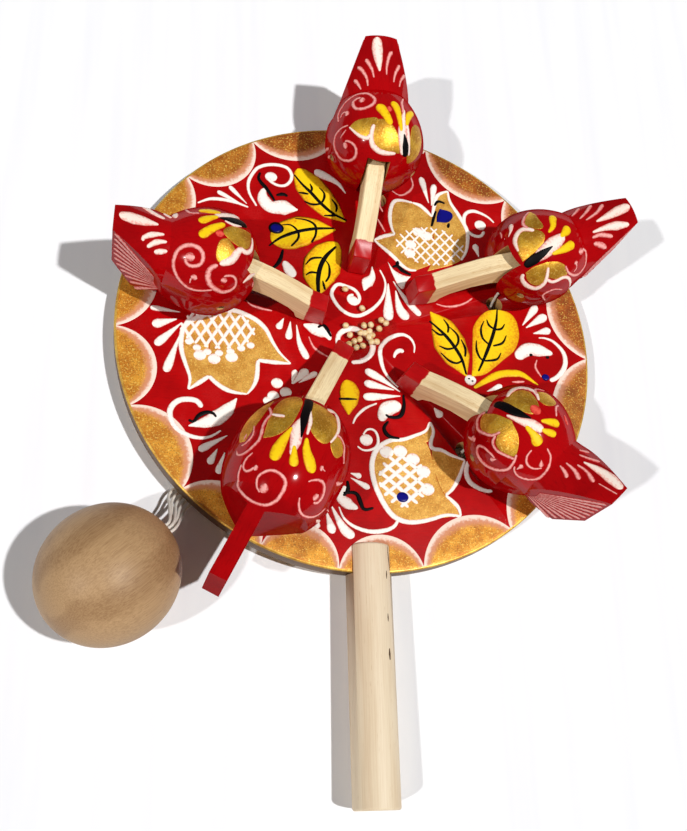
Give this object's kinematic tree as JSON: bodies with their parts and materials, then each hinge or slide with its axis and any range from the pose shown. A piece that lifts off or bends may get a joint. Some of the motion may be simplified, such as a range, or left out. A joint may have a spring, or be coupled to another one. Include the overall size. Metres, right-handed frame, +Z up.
{
  "type": "pecking hens toy",
  "caption": "Folk toy: a round painted board on a dowel handle with carved hens whose pivoting necks are pulled by a wooden ball on strings below.",
  "frame": {"origin": "bottom centre of the box of the toy as it lies on a table", "axes": "+Z up from the table, +Y from the handle to the far side of the board, +X to the right seen from the handle"},
  "size_m": [0.1838, 0.2416, 0.0477],
  "materials": {
    "board_paint": "gloss red lacquer with painted ornament",
    "handle_wood": "plain sanded",
    "hen_paint": "gloss red lacquer with painted ornament",
    "neck_wood": "plain sawn, red painted head",
    "wire": "plain wire",
    "string": "twisted cotton",
    "ball_wood": "plain turned",
    "grain": "millet grains in clear glue"
  },
  "bodies": {
    "paddle": {"board": "board_paint", "handle": "handle_wood", "grain_patch": "grain", "grain_1": "grain", "grain_2": "grain", "grain_3": "grain", "body_back": "hen_paint", "pin_back": "wire", "pull_string_back": "string", "string_back": "string", "body_right": "hen_paint", "pin_right": "wire", "pull_string_right": "string", "string_right": "string", "body_front_right": "hen_paint", "pin_front_right": "wire", "pull_string_front_right": "string", "string_front_right": "string", "body_front_left": "hen_paint", "pin_front_left": "wire", "pull_string_front_left": "string", "string_front_left": "string", "body_left": "hen_paint", "pin_left": "wire", "pull_string_left": "string", "string_left": "string"},
    "ball": {"ball": "ball_wood", "ball_peg": "handle_wood"},
    "neck_back": {"neck_back": "neck_wood"},
    "neck_right": {"neck_right": "neck_wood"},
    "neck_front_right": {"neck_front_right": "neck_wood"},
    "neck_front_left": {"neck_front_left": "neck_wood"},
    "neck_left": {"neck_left": "neck_wood"}
  },
  "joints": [
    {"name": "peck_back", "type": "hinge", "parent": "paddle", "child": "neck_back", "pos_m": [0.00765, 0.08217, 0.02252], "axis": [-0.9942, 0.108, -0.0026], "range_deg": [0, 28], "deforming": ["pull_string_back"]},
    {"name": "peck_right", "type": "hinge", "parent": "paddle", "child": "neck_right", "pos_m": [0.05431, 0.04757, 0.02335], "axis": [-0.1908, 0.9813, -0.0237], "range_deg": [0, 28], "deforming": ["pull_string_right"]},
    {"name": "peck_front_right", "type": "hinge", "parent": "paddle", "child": "neck_front_right", "pos_m": [0.04366, -0.00939, 0.02473], "axis": [0.6293, 0.7769, -0.0188], "range_deg": [0, 28], "deforming": ["pull_string_front_right"]},
    {"name": "peck_front_left", "type": "hinge", "parent": "paddle", "child": "neck_front_left", "pos_m": [-0.01714, -0.01082, 0.02477], "axis": [0.887, -0.4616, 0.0112], "range_deg": [0, 28], "deforming": ["pull_string_front_left"]},
    {"name": "peck_left", "type": "hinge", "parent": "paddle", "child": "neck_left", "pos_m": [-0.0399, 0.03816, 0.02358], "axis": [-0.1994, -0.9796, 0.0237], "range_deg": [0, 28], "deforming": ["pull_string_left"]},
    {"name": "ball_swing", "type": "hinge", "parent": "paddle", "child": "ball", "pos_m": [-0.01937, 0.00128, 0.00347], "axis": [0, 0, 1], "range_deg": [-55, 2], "deforming": ["string_back", "string_right", "string_front_right", "string_front_left", "string_left"]}
  ]
}
